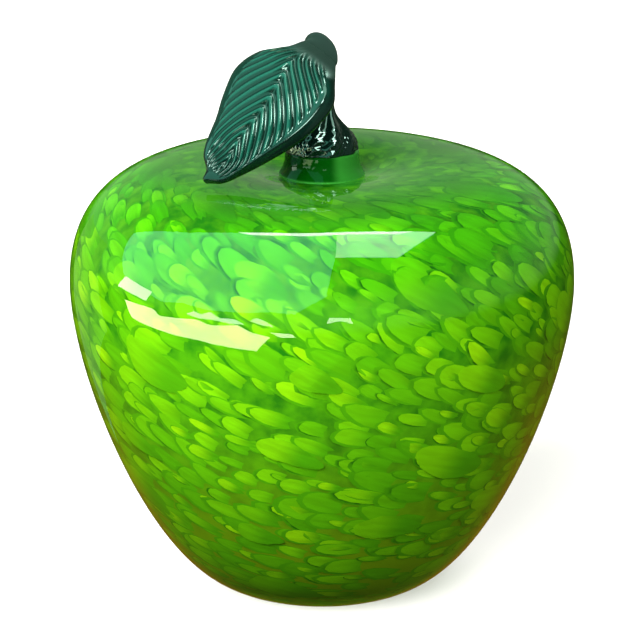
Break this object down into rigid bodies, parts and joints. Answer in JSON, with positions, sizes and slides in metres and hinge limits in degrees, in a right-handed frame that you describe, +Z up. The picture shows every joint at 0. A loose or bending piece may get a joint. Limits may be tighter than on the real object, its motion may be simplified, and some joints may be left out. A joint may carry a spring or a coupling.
{
  "type": "art glass apple",
  "caption": "Hand-blown glass apple ornament with green chips cased under clear glass, a ribbed dark stem and a veined leaf; stands on its ground base as a paperweight or shelf piece.",
  "frame": {"origin": "centre of the base, on the axis of the body, at the level of the standing ring", "axes": "+Z up along the axis of the body; -Y faces the viewer of the picture; +X to that viewer's right"},
  "size_m": [0.115, 0.115, 0.1288],
  "materials": {
    "clear_glass": "fire polished, ground base",
    "chip_glass": "fused chips in a green ground",
    "emerald_glass": "transparent overlay",
    "bubble_glass": "blown",
    "collar_glass": "fire polished",
    "stem_glass": "pincered and twisted",
    "leaf_glass": "pressed in a leaf crimp"
  },
  "bodies": {
    "root": {"clear_casing": "clear_glass", "chip_layer": "chip_glass", "emerald_overlay": "emerald_glass", "inner_bubble": "bubble_glass", "neck_seal": "collar_glass", "stem": "stem_glass", "leaf": "leaf_glass"}
  },
  "joints": []
}
